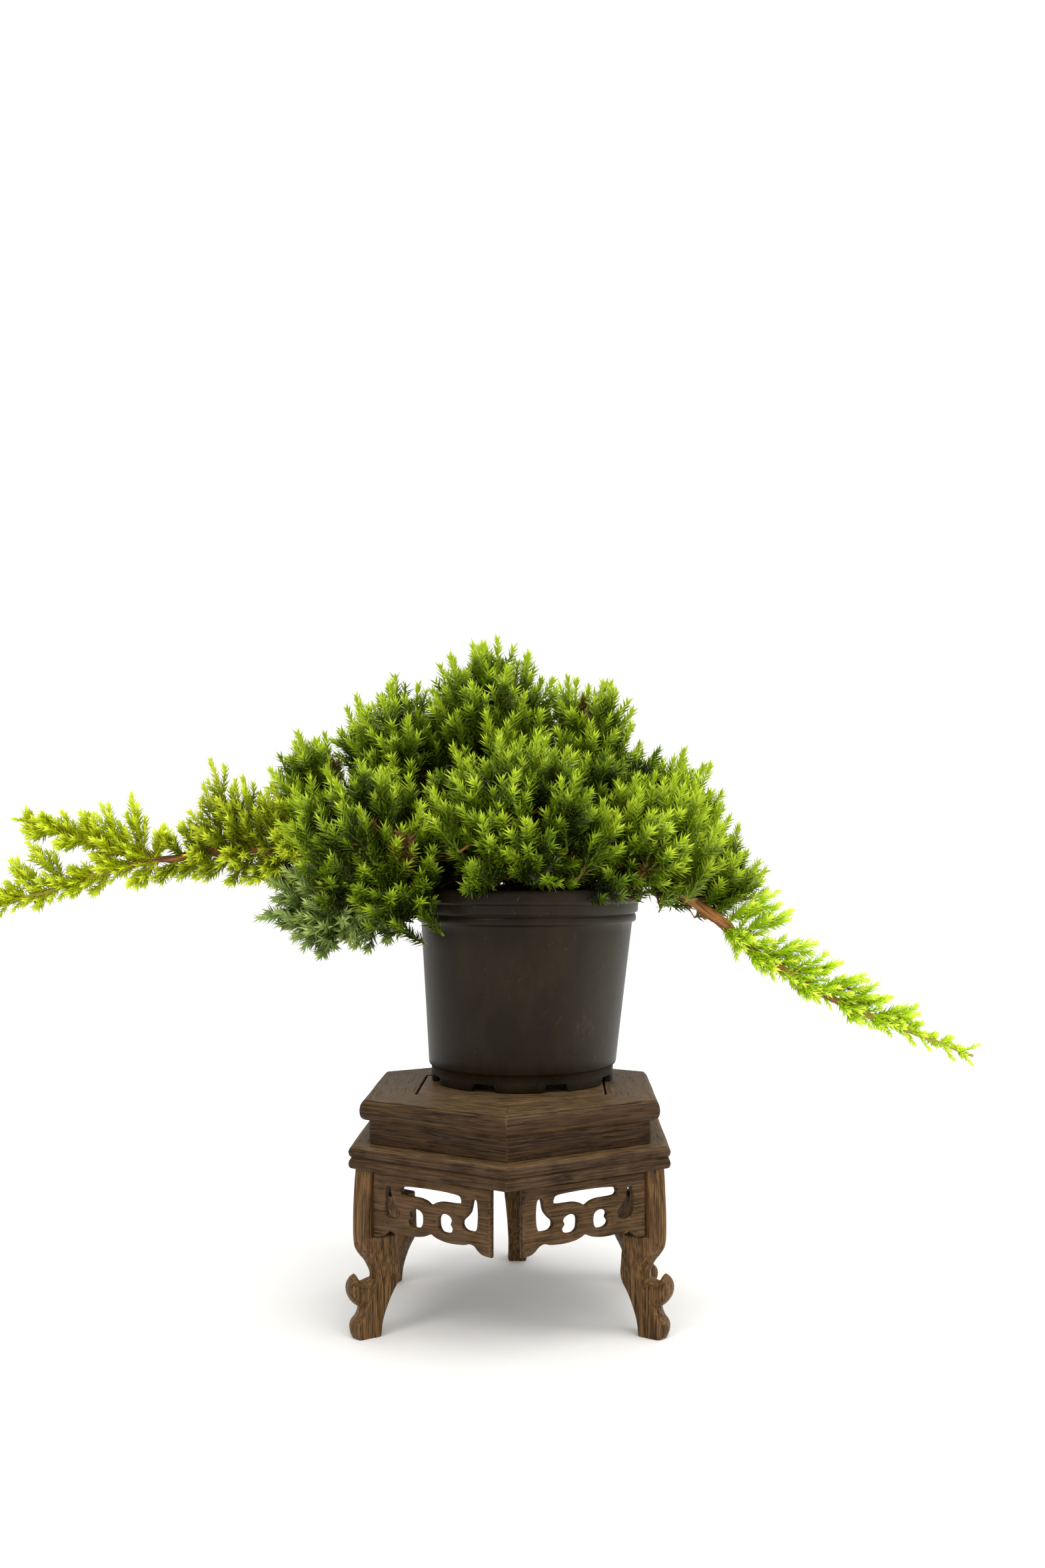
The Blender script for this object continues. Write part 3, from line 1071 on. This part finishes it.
def foliage_piece(name, shoots, twigs, rng, kind, replaced):
    """One mass of foliage: its needles, the stems inside its shoots and the twigs that carry them."""
    settings = bpy.context.scene.juniper_plant
    table = shoots.table()
    points, needle_faces, uv = needle_arrays(table, rng, settings)
    faces = [needle_faces]
    base, direction, length, bend = table[:, 0:3], table[:, 3:6], table[:, 6:7], table[:, 7:10]
    green = np.clip(table[:, 10] - 0.05, 0.15, 0.9)
    stems = [(base, base + length * direction / 2, base + length * (direction + bend) * 0.97,
              np.full(len(table), 0.75 * MM), np.full(len(table), 0.30 * MM), green)]
    if twigs is not None:
        start, control, end, thick = twigs
        stems.append((start, control, end, thick, thick * 0.55, np.full(len(start), TWIG_TONE)))
    blocks, uvs, start_at = [points], [uv], len(points)
    for row in stems:
        more, more_faces, more_uv = stem_arrays(*row)
        faces += [block + start_at for block in more_faces]
        blocks.append(more)
        uvs.append(more_uv)
        start_at += len(more)
    make_piece("needles_" + name.removeprefix("foliage_"), np.concatenate(blocks), faces,
               needle_material("needles_" + kind, kind), "needles", replaced, smooth=False,
               uv=np.concatenate(uvs))


def outside_pot(points, margin):
    """True for points that are clear of the pot and its rim."""
    away = points - POT_BASE
    reach = np.hypot(away[:, 0] - POT_LEAN * away[:, 2], away[:, 1])
    return (reach > LIP_REACH + margin) | (away[:, 2] > POT_HEIGHT + margin * 0.4)


def inside_mound(tips, low_pad):
    """True for tips between the mound's left and right ends, which lean in towards the top, and over its
    lower edge. That edge is at the rim's height in front and on the right and lower on the left, and
    there is none behind or for the pad that hangs low."""
    x, y, z = ((tips - STAND_MIDDLE) / MM).T
    between = (x > np.where(z > 345, -168, -195)) & (x < 151 + 0.5 * (380 - z))
    return between & (low_pad | (z > 304) | ((x < 55) & (z > 286)) | (y > 60))


def plume(shoots, base, axis, height, tone, rng, side_count, full=1.0, tight=0.0, slim=1.0):
    """Plumes, one per row: a main shoot along the axis, and side shoots that leave its lower part at 24 to
    44 degrees, each turned by the golden angle from the one before and curved up towards the axis. The
    lower a side shoot, the longer and the darker it is."""
    axis = unit(axis)
    shoots.add(base, axis, height, 0.08 * UP, tone + 0.08, full, tight)
    square = square_directions(axis)
    offset = rng.uniform(0, 2 * math.pi, len(base))
    for k in range(side_count):
        part = 0.05 + 0.68 * (k / side_count) + rng.uniform(-0.03, 0.03, len(base))
        turn = offset + k * GOLDEN_ANGLE + rng.normal(0, 0.25, len(base))
        angle = np.radians(rng.uniform(24, 44, len(base)))[:, None]
        heading = axis * np.cos(angle) + around(square, turn) * np.sin(angle)
        root = base + axis * (height * part)[:, None]
        reach = slim * (height * (0.46 - 0.28 * part) + 0.003) * rng.uniform(0.8, 1.2, len(base))
        curve = (axis - heading) * 0.25 + 0.12 * UP
        shade = tone + 0.10 * (part - 0.4) + rng.normal(0, 0.05, len(base))
        shoots.add(root, heading, reach, curve, shade, full, tight)


def sphere_directions(count, rng):
    """Even directions over a sphere: heights at even steps, each turned by the golden angle, a little
    moved."""
    z = 1 - 2 * (np.arange(count) + 0.5) / count
    turn = np.arange(count) * GOLDEN_ANGLE + rng.uniform(0, 2 * math.pi)
    flat = np.sqrt(1 - z * z)
    even = np.stack([flat * np.cos(turn), flat * np.sin(turn), z], -1)
    return unit(even + rng.normal(0, 0.10, (count, 3)))


def twigs_from_limb(limb, ends, rng):
    """Twigs from a limb to the roots of plumes: each leaves the limb a little before its nearest place and
    bends towards the root. Roots far away or far below the limb get none."""
    path, _ = limb_path(LIMBS[limb], 60)
    nearest = np.argmin(np.linalg.norm(ends[:, None] - path[None], axis=-1), axis=1)
    start = path[np.maximum(nearest - 5, 0)]
    ahead = unit(np.gradient(path, axis=0))[nearest]
    near = (start[:, 2] - ends[:, 2] < 0.022) & (np.linalg.norm(ends - start, axis=1) < 0.075)
    start, ahead, ends = start[near], ahead[near], ends[near]
    gap = np.linalg.norm(ends - start, axis=1, keepdims=True)
    control = start + ahead * gap * 0.45 + rng.normal(0, 0.05, ends.shape) * gap
    return start, control, ends, rng.uniform(0.9, 1.5, len(ends)) * MM


def build_mass(name, seed):
    """A foliage mass that fills its node's box: plumes over the ellipsoid in that box, whose reach swells
    and shrinks with a smooth random field, leaning up and outwards, and a shell of darker plumes
    further in. Plumes that look at the heart of the plant, touch the pot or pass the mound's ends and
    lower edge are left out."""
    rng = np.random.default_rng(seed)
    limb, shift, kind, fill = MASSES[name]
    low, high = (np.array(corner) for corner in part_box(name))
    middle, half = (low + high) / 2, fill * (high - low) / 2
    area = 4 * math.pi * np.prod(half) ** (2 / 3)
    count = int(area / bpy.context.scene.juniper_plant.plume_spacing**2)
    low_pad = kind == "blue"
    rise = 0.0 if low_pad else 0.60
    shoots = Shoots()
    roots = []
    for reach, height, tone, sides, number, facing, dead in [
            (1.00, 0.050, 0.40, 5, count, -0.2, 0.0), (0.74, 0.040, 0.12, 4, count * 2 // 3, -0.6, 0.05)]:
        directions = sphere_directions(number, rng)
        swell = reach * (1 + 0.06 * ripple(directions, 2.2, seed))[:, None]
        tips = middle + directions * half * swell * rng.uniform(0.84, 1.08, (len(directions), 1))
        outward = unit(tips - PLANT_HEART)
        keep = np.einsum("ij,ij->i", directions, outward) > facing
        directions, tips, outward = directions[keep], tips[keep], outward[keep]
        axis = unit(0.40 * directions + 0.30 * outward + rise * UP + rng.normal(0, 0.18, tips.shape))
        tall = height * rng.uniform(0.75, 1.35, len(tips))
        base = tips - axis * tall[:, None]
        clear = outside_pot(tips, 0.008) & outside_pot(base, 0.004) & inside_mound(tips, low_pad)
        clear &= inside_mound(base + 0.024 * UP, low_pad)
        base, axis, tall, outward = base[clear], axis[clear], tall[clear], outward[clear]
        lit = 0.10 * outward[:, 2] + rng.normal(0, 0.06, len(base))
        lit -= 2.0 * (rng.random(len(base)) < dead)
        plume(shoots, base, axis, tall, tone + shift + lit, rng, sides)
        roots.append(base)
    twigs = twigs_from_limb(limb, np.concatenate(roots), rng)
    foliage_piece(name, shoots, twigs, rng, kind, [name])


def build_understory():
    """Old dark shoots that stand round the trunk, over the soil and the pot's rim, and lean outwards."""
    rng = np.random.default_rng(77)
    count, reach = 168, 0.080
    turn = rng.uniform(0, 2 * math.pi, count)
    away = reach * np.sqrt(rng.uniform(0.02, 1, count))
    base = np.stack([away * np.cos(turn), away * np.sin(turn), rng.uniform(0.136, 0.215, count)], -1)
    axis = unit(np.stack([np.cos(turn), np.sin(turn), rng.uniform(-0.15, 1.0, count)], -1)
                + rng.normal(0, 0.25, (count, 3)))
    base = base + POT_BASE
    shoots = Shoots()
    tall = rng.uniform(0.026, 0.046, count)
    plume(shoots, base, axis, tall, np.full(count, 0.02), rng, 5)
    twigs = twigs_from_limb("trunk", base, rng)
    foliage_piece("understory", shoots, twigs, rng, "green", ())


# Branchlets with their own place on the trailing limbs: root and tip, in millimetres from the stand's
# middle.
SPRIGS = {
    "foliage_trailing_left_inner": [
        ((-150, -4, 332), (-166, -30, 374)), ((-160, -4, 332), (-180, -6, 368)),
        ((-186, -6, 331), (-206, -22, 364)), ((-196, -6, 331), (-222, -24, 346)),
        ((-170, 0, 331), (-184, 20, 362)), ((-205, -6, 330), (-224, 2, 374)),
        ((-190, -6, 331), (-202, -30, 326)), ((-160, -6, 331), (-170, -10, 304)),
        ((-148, -6, 331), (-152, -20, 303)), ((-215, -8, 328), (-228, -24, 330)),
        ((-192, -6, 331), (-198, -12, 376)), ((-162, -6, 331), (-172, -30, 314)),
        ((-150, -4, 332), (-158, -32, 330)), ((-140, -2, 332), (-144, -32, 318)),
        ((-156, -6, 331), (-164, -32, 344)), ((-128, -2, 331), (-130, -34, 326)),
        ((-194, -6, 331), (-216, -8, 390)), ((-178, -5, 331), (-191, -16, 378)),
        ((-168, -6, 331), (-172, -24, 368)), ((-205, -6, 331), (-228, -14, 356)),
        ((-184, -8, 329), (-204, -18, 309)), ((-200, -8, 329), (-226, -12, 311)),
        ((-172, -8, 329), (-186, -24, 308)), ((-216, -8, 328), (-244, -8, 315)),
        ((-186, 0, 331), (-200, 12, 346)), ((-212, 0, 330), (-236, 14, 342)),
        ((-176, 2, 330), (-190, 18, 318)), ((-224, -8, 327), (-234, -14, 348)),
        ((-236, -9, 326), (-248, -14, 342)), ((-240, -9, 325), (-256, -14, 310)),
        ((-226, -6, 327), (-240, 8, 320))],
    "foliage_trailing_left_upper": [
        ((-258, -10, 323), (-250, -14, 346)), ((-264, -10, 323), (-272, -12, 366)),
        ((-276, -10, 327), (-293, -10, 360)), ((-292, -9, 333), (-309, -8, 356)),
        ((-316, -8, 342), (-340, -10, 353)), ((-284, -8, 330), (-300, 4, 338)),
        ((-306, -8, 338), (-324, -18, 338)), ((-330, -7, 346), (-352, -6, 346))],
    "foliage_trailing_left_lower": [
        ((-318, -14, 307), (-344, -14, 334)), ((-334, -15, 301), (-356, -14, 322)),
        ((-298, -12, 314), (-318, -16, 303)), ((-254, -10, 324), (-274, -16, 306)),
        ((-278, -11, 320), (-300, -6, 326)), ((-346, -16, 297), (-368, -16, 302))],
    "foliage_trailing_right": [
        ((152, -11, 279), (188, -14, 300)), ((160, -12, 271), (197, -16, 287)),
        ((178, -12, 256), (216, -12, 264)), ((196, -13, 244), (234, -12, 250)),
        ((214, -14, 233), (252, -16, 238)), ((232, -14, 225), (270, -14, 226)),
        ((256, -14, 214), (290, -12, 214)), ((170, -14, 261), (186, -22, 246)),
        ((200, -14, 242), (216, -20, 226)), ((232, -14, 225), (250, -18, 210)),
        ((150, -10, 280), (166, -20, 262))],
}


# Turns of five following branchlets about the limb, from its left side over its top.
BRANCHLET_TURNS = np.array([0.15, 1.57, 3.0, 2.2, -0.9])
SHORT_SHOOT_STEP = 0.0036


def build_spray(name, data, seed, rise, reach, part, every, kind="yellow", tight=0.25):
    """Foliage of a part of a long trailing limb. Branchlets with their own place come first. Others leave
    the limb in turn to the left, up, and to the right, lean forward and rise, and get shorter towards
    the tip. Short shoots stand all round the limb between them, each turned by the golden angle from
    the one before."""
    rng = np.random.default_rng(seed)
    path, _ = limb_path(data, 400)
    path = path[int(part[0] * 399):int(part[1] * 399) + 1]
    travelled = distance_along(path)
    slope = unit(np.gradient(path, axis=0))
    shoots = Shoots()

    def roots(spacing):
        """Places at even steps along the limb, their distance as a part of the whole, the direction ahead
        there and the directions to the side and upwards that are square to it."""
        at = np.arange(0.5 * spacing, travelled[-1], spacing)
        place, ahead = (np.stack([np.interp(at, travelled, table[:, k]) for k in range(3)], -1)
                        for table in (path, slope))
        ahead = unit(ahead)
        side = unit(np.cross(ahead, UP))
        return place, at / travelled[-1], ahead, (side, np.cross(side, ahead))

    ends = np.array(SPRIGS[name]) * MM + STAND_MIDDLE
    span = ends[:, 1] - ends[:, 0]
    length = np.linalg.norm(span, axis=1)
    plume(shoots, ends[:, 0], span - 0.003 * UP, length, 0.50, rng, 8, 0.92, tight, 0.9)

    root, along, ahead, square = roots(every)
    count = len(root)
    turn = BRANCHLET_TURNS[np.arange(count) % len(BRANCHLET_TURNS)] + rng.normal(0, 0.2, count)
    lean = np.radians(rng.uniform(30, 46, count))[:, None]
    heading = unit(ahead * np.cos(lean) + around(square, turn) * np.sin(lean) + rise * UP)
    tall = reach * (1 - 0.5 * along) * rng.uniform(0.6, 1.15, count)
    plume(shoots, root, heading, tall, 0.48 + 0.14 * along + rng.normal(0, 0.04, count), rng, 4,
          0.86 - 0.2 * along, tight, 0.8)

    root, along, ahead, square = roots(SHORT_SHOOT_STEP)
    count = len(root)
    heading = unit(ahead + 0.9 * around(square, np.arange(count) * GOLDEN_ANGLE) + 0.25 * rise * UP)
    shoots.add(root, heading, rng.uniform(0.010, 0.018, count) * (1 - 0.3 * along), 0.1 * ahead,
               0.46 + 0.14 * along + rng.normal(0, 0.05, count), 0.76 - 0.2 * along, tight)
    foliage_piece(name, shoots, None, rng, kind, [name])


# ------------------------------------------------------------------ settings

def colour_setting(label, about, value):
    """A colour property."""
    return bpy.props.FloatVectorProperty(name=label, description=about, default=value, subtype="COLOR",
                                         size=3, min=0, max=1)


class StandSettings(bpy.types.PropertyGroup):
    """Colours of the stand's wood."""

    dark: colour_setting("Dark", "Pores and dark bands of the top", (0.013, 0.0065, 0.0025))
    middle: colour_setting("Middle", "Body of the top's wood", (0.036, 0.0175, 0.0065))
    light: colour_setting("Light", "Pale fibres of the top", (0.080, 0.041, 0.015))
    carved_dark: colour_setting("Carved dark", "Pores of legs and aprons", (0.026, 0.013, 0.005))
    carved_middle: colour_setting("Carved middle", "Body of legs and aprons", (0.100, 0.050, 0.017))
    carved_light: colour_setting("Carved light", "Pale fibres of legs and aprons", (0.215, 0.116, 0.038))


class PotSettings(bpy.types.PropertyGroup):
    """Look of the pot."""

    colour: colour_setting("Plastic", "Colour of the clean plastic", (0.0120, 0.0082, 0.0040))
    dust: bpy.props.FloatProperty(name="Dust", description="Strength of the dusty film", default=0.55,
                                  min=0, max=1, subtype="FACTOR")


class PlantSettings(bpy.types.PropertyGroup):
    """Sizes and colours of the plant."""

    needle_length: bpy.props.FloatProperty(
        name="Needle length", description="Length of a full-grown needle", default=0.0082, unit="LENGTH")
    needle_width: bpy.props.FloatProperty(
        name="Needle width", description="Width of a needle at its widest", default=0.0018, unit="LENGTH")
    whorl_pitch: bpy.props.FloatProperty(
        name="Whorl pitch", description="Distance between whorls along a shoot", default=0.0015,
        unit="LENGTH")
    plume_spacing: bpy.props.FloatProperty(
        name="Plume spacing", description="Distance between plumes on a mass", default=0.025, unit="LENGTH")
    dead_share: bpy.props.FloatProperty(
        name="Dead share", description="Share of brown needles low on the shoots", default=0.10,
        min=0, max=1, subtype="FACTOR")
    bark: colour_setting("Bark", "Bark strips", (0.46, 0.18, 0.035))
    old_green: colour_setting("Old needles", "Deep green of old needles", (0.020, 0.033, 0.003))
    fresh_green: colour_setting("Fresh needles", "Green of this year's needles", (0.135, 0.235, 0.005))
    tip_green: colour_setting("Tips", "Yellow-green of growing tips", (0.52, 0.66, 0.035))


# ------------------------------------------------------------------ operators

class JUNIPER_OT_rings(bpy.types.Operator):
    """Build the panel and the three mitred rings of the stand"""

    bl_idname = "juniper.rings"
    bl_label = "Stand rings"

    def execute(self, context):
        build_rings()
        return {"FINISHED"}


class JUNIPER_OT_aprons(bpy.types.Operator):
    """Build the six pierced aprons"""

    bl_idname = "juniper.aprons"
    bl_label = "Stand aprons"

    def execute(self, context):
        build_aprons()
        return {"FINISHED"}


class JUNIPER_OT_legs(bpy.types.Operator):
    """Build the five scroll-footed legs"""

    bl_idname = "juniper.legs"
    bl_label = "Stand legs"

    def execute(self, context):
        build_legs()
        return {"FINISHED"}


class JUNIPER_OT_pot(bpy.types.Operator):
    """Build the nursery pot"""

    bl_idname = "juniper.pot"
    bl_label = "Pot"

    def execute(self, context):
        build_pot()
        return {"FINISHED"}


class JUNIPER_OT_soil(bpy.types.Operator):
    """Build the soil, its crumbs and its perlite"""

    bl_idname = "juniper.soil"
    bl_label = "Soil"

    def execute(self, context):
        build_soil()
        return {"FINISHED"}


class JUNIPER_OT_limbs(bpy.types.Operator):
    """Build the trunk and the limbs"""

    bl_idname = "juniper.limbs"
    bl_label = "Limbs"

    def execute(self, context):
        build_limbs()
        return {"FINISHED"}


class JUNIPER_OT_foliage(bpy.types.Operator):
    """Build the needle masses of the mound"""

    bl_idname = "juniper.foliage"
    bl_label = "Mound foliage"

    def execute(self, context):
        for number, name in enumerate(MASSES):
            build_mass(name, 100 + number)
        build_understory()
        return {"FINISHED"}


class JUNIPER_OT_trailing(bpy.types.Operator):
    """Build the needles of the trailing limbs"""

    bl_idname = "juniper.trailing"
    bl_label = "Trailing foliage"

    def execute(self, context):
        left, right = LIMBS["branch_left_trailing"], LIMBS["branch_right_trailing"]
        build_spray("foliage_trailing_left_inner", left, 201, 0.35, 0.030, (0.40, 0.54), 0.0080, "fresh")
        build_spray("foliage_trailing_left_lower", left, 202, 0.05, 0.026, (0.63, 1.0), 0.0085)
        build_spray("foliage_trailing_left_upper", FORK, 203, 0.20, 0.024, (0.0, 1.0), 0.0085)
        build_spray("foliage_trailing_right", right, 204, 0.10, 0.018, (0.47, 0.98), 0.0130, "lime")
        return {"FINISHED"}


class JUNIPER_OT_stage(bpy.types.Operator):
    """Build the pale floor, the lights and the camera"""

    bl_idname = "juniper.stage"
    bl_label = "Stage"

    def execute(self, context):
        build_stage()
        return {"FINISHED"}


OPERATORS = [JUNIPER_OT_rings, JUNIPER_OT_aprons, JUNIPER_OT_legs, JUNIPER_OT_pot, JUNIPER_OT_soil,
             JUNIPER_OT_limbs, JUNIPER_OT_foliage, JUNIPER_OT_trailing, JUNIPER_OT_stage]


class JUNIPER_PT_build(bpy.types.Panel):
    """Buttons for every group of pieces and the settings that they read"""

    bl_idname = "JUNIPER_PT_build"
    bl_label = "Juniper"
    bl_space_type = "VIEW_3D"
    bl_region_type = "UI"
    bl_category = "Juniper"

    def draw(self, context):
        for group in GROUPS:
            settings = getattr(context.scene, group)
            column = self.layout.column()
            for key in settings.__annotations__:
                column.prop(settings, key)
        for operator in OPERATORS:
            self.layout.operator(operator.bl_idname)


# ------------------------------------------------------------------ stage

def area_light(name, location, aim, size, power, colour=(1, 1, 1)):
    """A soft square light that looks at a point."""
    light = bpy.data.lights.new(name, "AREA")
    light.size, light.energy, light.color = size, power, colour
    holder = bpy.data.objects.new(name, light)
    bpy.context.scene.collection.objects.link(holder)
    holder.location = location
    holder.rotation_euler = (Vector(aim) - Vector(location)).to_track_quat("-Z", "Y").to_euler()


def build_stage():
    """A white floor, a white surround that is seen a little brighter than it lights, three soft lights, a
    wide one from above, and a level camera whose shift gives the framing."""
    scene = bpy.context.scene
    mesh = bpy.data.meshes.new("floor")
    reach = 6.0
    mesh.from_pydata([(-reach, -reach, 0), (reach, -reach, 0), (reach, reach, 0), (-reach, reach, 0)], [],
                     [(0, 1, 2, 3)])
    material, _, surface = new_material("floor_paper", 0.9)
    surface.inputs["Base Color"].default_value = (0.95, 0.95, 0.945, 1)
    surface.inputs["Specular IOR Level"].default_value = 0.0
    mesh.materials.append(material)
    floor = bpy.data.objects.new("floor", mesh)
    scene.collection.objects.link(floor)
    world = bpy.data.worlds.new("surround")
    world.use_nodes = True
    tree = world.node_tree
    background = tree.nodes["Background"]
    background.inputs["Color"].default_value = (1.0, 0.995, 0.985, 1)
    seen = add_node(tree, "ShaderNodeLightPath").outputs["Is Camera Ray"]
    strength = add_node(tree, "ShaderNodeMapRange", {"Value": seen, "To Min": 0.82, "To Max": 1.1})
    feed(tree, strength.outputs["Result"], background.inputs["Strength"])
    scene.world = world
    target = (STAND_MIDDLE[0], STAND_MIDDLE[1], 0.28)
    area_light("key_light", (-0.9, -1.1, 1.5), target, 0.7, 9, (1.0, 0.97, 0.92))
    area_light("top_light", (0.2, 0.4, 1.8), target, 1.0, 9)
    area_light("side_light", (1.4, -0.4, 0.8), target, 0.6, 4, (1.0, 0.95, 0.88))
    sun = bpy.data.objects.new("high_light", bpy.data.lights.new("high_light", "SUN"))
    sun.data.energy, sun.data.angle, sun.data.color = 1.1, math.radians(50), (1.0, 0.98, 0.94)
    sun.rotation_euler = (math.radians(24), math.radians(22), 0)
    scene.collection.objects.link(sun)
    scene.view_settings.view_transform = "Standard"
    camera = bpy.data.cameras.new("camera")
    camera.lens, camera.sensor_width = 29.43, 36.0
    camera.shift_x, camera.shift_y = -0.0226, 0.0472
    holder = bpy.data.objects.new("camera", camera)
    scene.collection.objects.link(holder)
    holder.location = (STAND_MIDDLE[0] + 0.0328, STAND_MIDDLE[1] - 0.931, 0.3257)
    holder.rotation_euler = (math.radians(90), 0, 0)
    scene.camera = holder


# ------------------------------------------------------------------ run

GROUPS = {"juniper_stand": StandSettings, "juniper_pot": PotSettings, "juniper_plant": PlantSettings}


def register():
    """Registers the settings, the operators and the panel."""
    for key, group in GROUPS.items():
        bpy.utils.register_class(group)
        setattr(bpy.types.Scene, key, bpy.props.PointerProperty(type=group))
    for operator in OPERATORS:
        bpy.utils.register_class(operator)
    bpy.utils.register_class(JUNIPER_PT_build)


def unregister():
    """Takes them away again."""
    bpy.utils.unregister_class(JUNIPER_PT_build)
    for operator in reversed(OPERATORS):
        bpy.utils.unregister_class(operator)
    for key, group in GROUPS.items():
        delattr(bpy.types.Scene, key)
        bpy.utils.unregister_class(group)


def main():
    """Builds everything in order."""
    register()
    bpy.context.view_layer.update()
    bpy.ops.juniper.rings()
    bpy.ops.juniper.aprons()
    bpy.ops.juniper.legs()
    bpy.ops.juniper.pot()
    bpy.ops.juniper.soil()
    bpy.ops.juniper.limbs()
    bpy.ops.juniper.foliage()
    bpy.ops.juniper.trailing()
    bpy.ops.juniper.stage()


if __name__ == "__main__":
    main()
